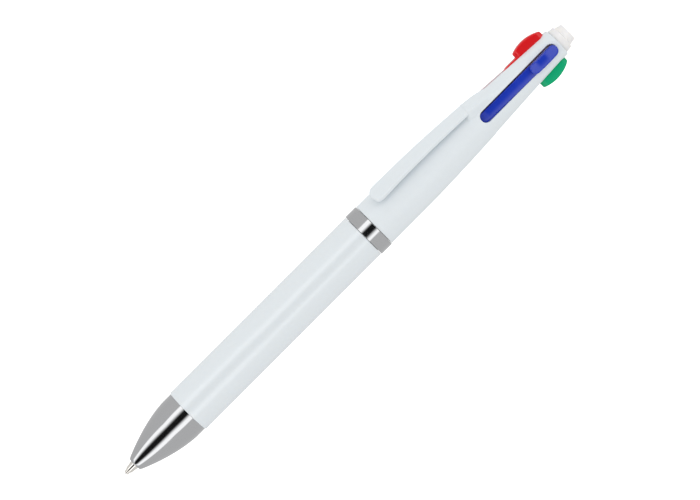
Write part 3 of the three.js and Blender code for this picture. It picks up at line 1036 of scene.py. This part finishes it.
def make_nose_card():
    """A sheet over the nose with a soft black band that carries the dark stripe on to the tip.
    Only reflections see it."""
    height, length, half = NOSE_SHEET_HEIGHT, NOSE_SHEET_LENGTH, NOSE_SHEET_HALF
    corners = [(-length, -half), (0, -half), (0, half), (-length, half)]
    mesh = bpy.data.meshes.new("nose_card")
    mesh.from_pydata([(u * MM, v * MM, 0) for u, v in corners], [], [(0, 1, 2, 3)])
    card = bpy.data.objects.new("nose_card", mesh)
    bpy.context.collection.objects.link(card)
    turn = PEN_FRAME @ side_matrix(VIEW_ANGLE) @ Matrix.Translation((NOSE[1] + 8, 0, height))
    card.matrix_world = Matrix.LocRotScale(turn.to_translation(), turn.to_quaternion(), None)
    material, tree, shader = nodes_of("nose_card_band")
    coords = tree.nodes.new("ShaderNodeTexCoord")
    from_nose = tree.nodes.new("ShaderNodeVectorMath")
    from_nose.inputs[1].default_value = (NOSE[1] * MM, 0, height * MM)
    direction = tree.nodes.new("ShaderNodeVectorMath")
    direction.operation = "NORMALIZE"
    split = tree.nodes.new("ShaderNodeSeparateXYZ")
    angle = tree.nodes.new("ShaderNodeMath")
    angle.operation = "ARCTAN2"
    widening = tree.nodes.new("ShaderNodeMapRange")
    widening.inputs["From Min"].default_value = NOSE_WIDENED[0]
    widening.inputs["From Max"].default_value = NOSE_WIDENED[1]
    widening.inputs["To Min"].default_value = NOSE_WIDENING
    widening.inputs["To Max"].default_value = 1.0
    widened = tree.nodes.new("ShaderNodeMath")
    widened.operation = "MULTIPLY"
    round_pen = tree.nodes.new("ShaderNodeMapRange")
    round_pen.inputs["From Min"].default_value = -math.pi
    round_pen.inputs["From Max"].default_value = math.pi
    degrees = sorted(NOSE_CARD + NOSE_PANEL)
    half_levels = [WALL_LEVEL, PANEL_LEVEL, PANEL_LEVEL, NOSE_CARD_LEVEL]
    band = ramp_of(tree, list(zip(degrees, half_levels + half_levels[::-1])))
    tree.links.new(coords.outputs["Object"], from_nose.inputs[0])
    tree.links.new(from_nose.outputs["Vector"], direction.inputs[0])
    tree.links.new(direction.outputs["Vector"], split.inputs["Vector"])
    tree.links.new(split.outputs["Y"], angle.inputs[0])
    tree.links.new(split.outputs["Z"], angle.inputs[1])
    tree.links.new(split.outputs["X"], widening.inputs["Value"])
    tree.links.new(angle.outputs["Value"], widened.inputs[0])
    tree.links.new(widening.outputs["Result"], widened.inputs[1])
    tree.links.new(widened.outputs["Value"], round_pen.inputs["Value"])
    tree.links.new(round_pen.outputs["Result"], band.inputs["Fac"])
    tree.links.new(band.outputs["Color"], shader.inputs["Emission Color"])
    shader.inputs["Emission Strength"].default_value = 1.0
    shader.inputs["Base Color"].default_value = (0, 0, 0, 1)
    shader.inputs["Specular IOR Level"].default_value = 0.0
    mesh.materials.append(material)
    card.visible_camera = False
    card.visible_diffuse = False
    card.visible_shadow = False
    card.visible_transmission = False


def make_camera():
    """Looks down on the pen from the red side of the blue button, with the tip at the lower left."""
    aim_u, aim_side = CAMERA_AIM
    a = math.radians(VIEW_ANGLE)
    along = Vector((1, 0, 0))
    back = Vector((0, math.sin(a), math.cos(a)))
    side = back.cross(along)
    right = (along - side).normalized()
    up = (along + side).normalized()
    place = Vector((aim_u, 0, 0)) - side * aim_side + back * CAMERA_DISTANCE
    data = bpy.data.cameras.new("camera")
    data.sensor_width = SENSOR
    data.lens = SENSOR * CAMERA_DISTANCE / PICTURE_WIDTH
    data.clip_start = 0.01
    data.clip_end = 10.0
    camera = bpy.data.objects.new("camera", data)
    bpy.context.collection.objects.link(camera)
    turn = Matrix((right, up, back)).transposed().to_4x4()
    camera.matrix_world = Matrix.Translation(PEN_FRAME @ place) @ turn
    bpy.context.scene.camera = camera


make_camera()
make_world()
make_nose_card()
make_floor()
bpy.context.scene.view_settings.view_transform = "Standard"

make_nose()
make_lower_barrel()
make_ring()
make_upper_barrel()
make_clip()
make_plug()
make_coupler()
make_guide()
for colour in SIDES:
    make_slider(colour)
    make_spring(colour)
    make_refill(colour)
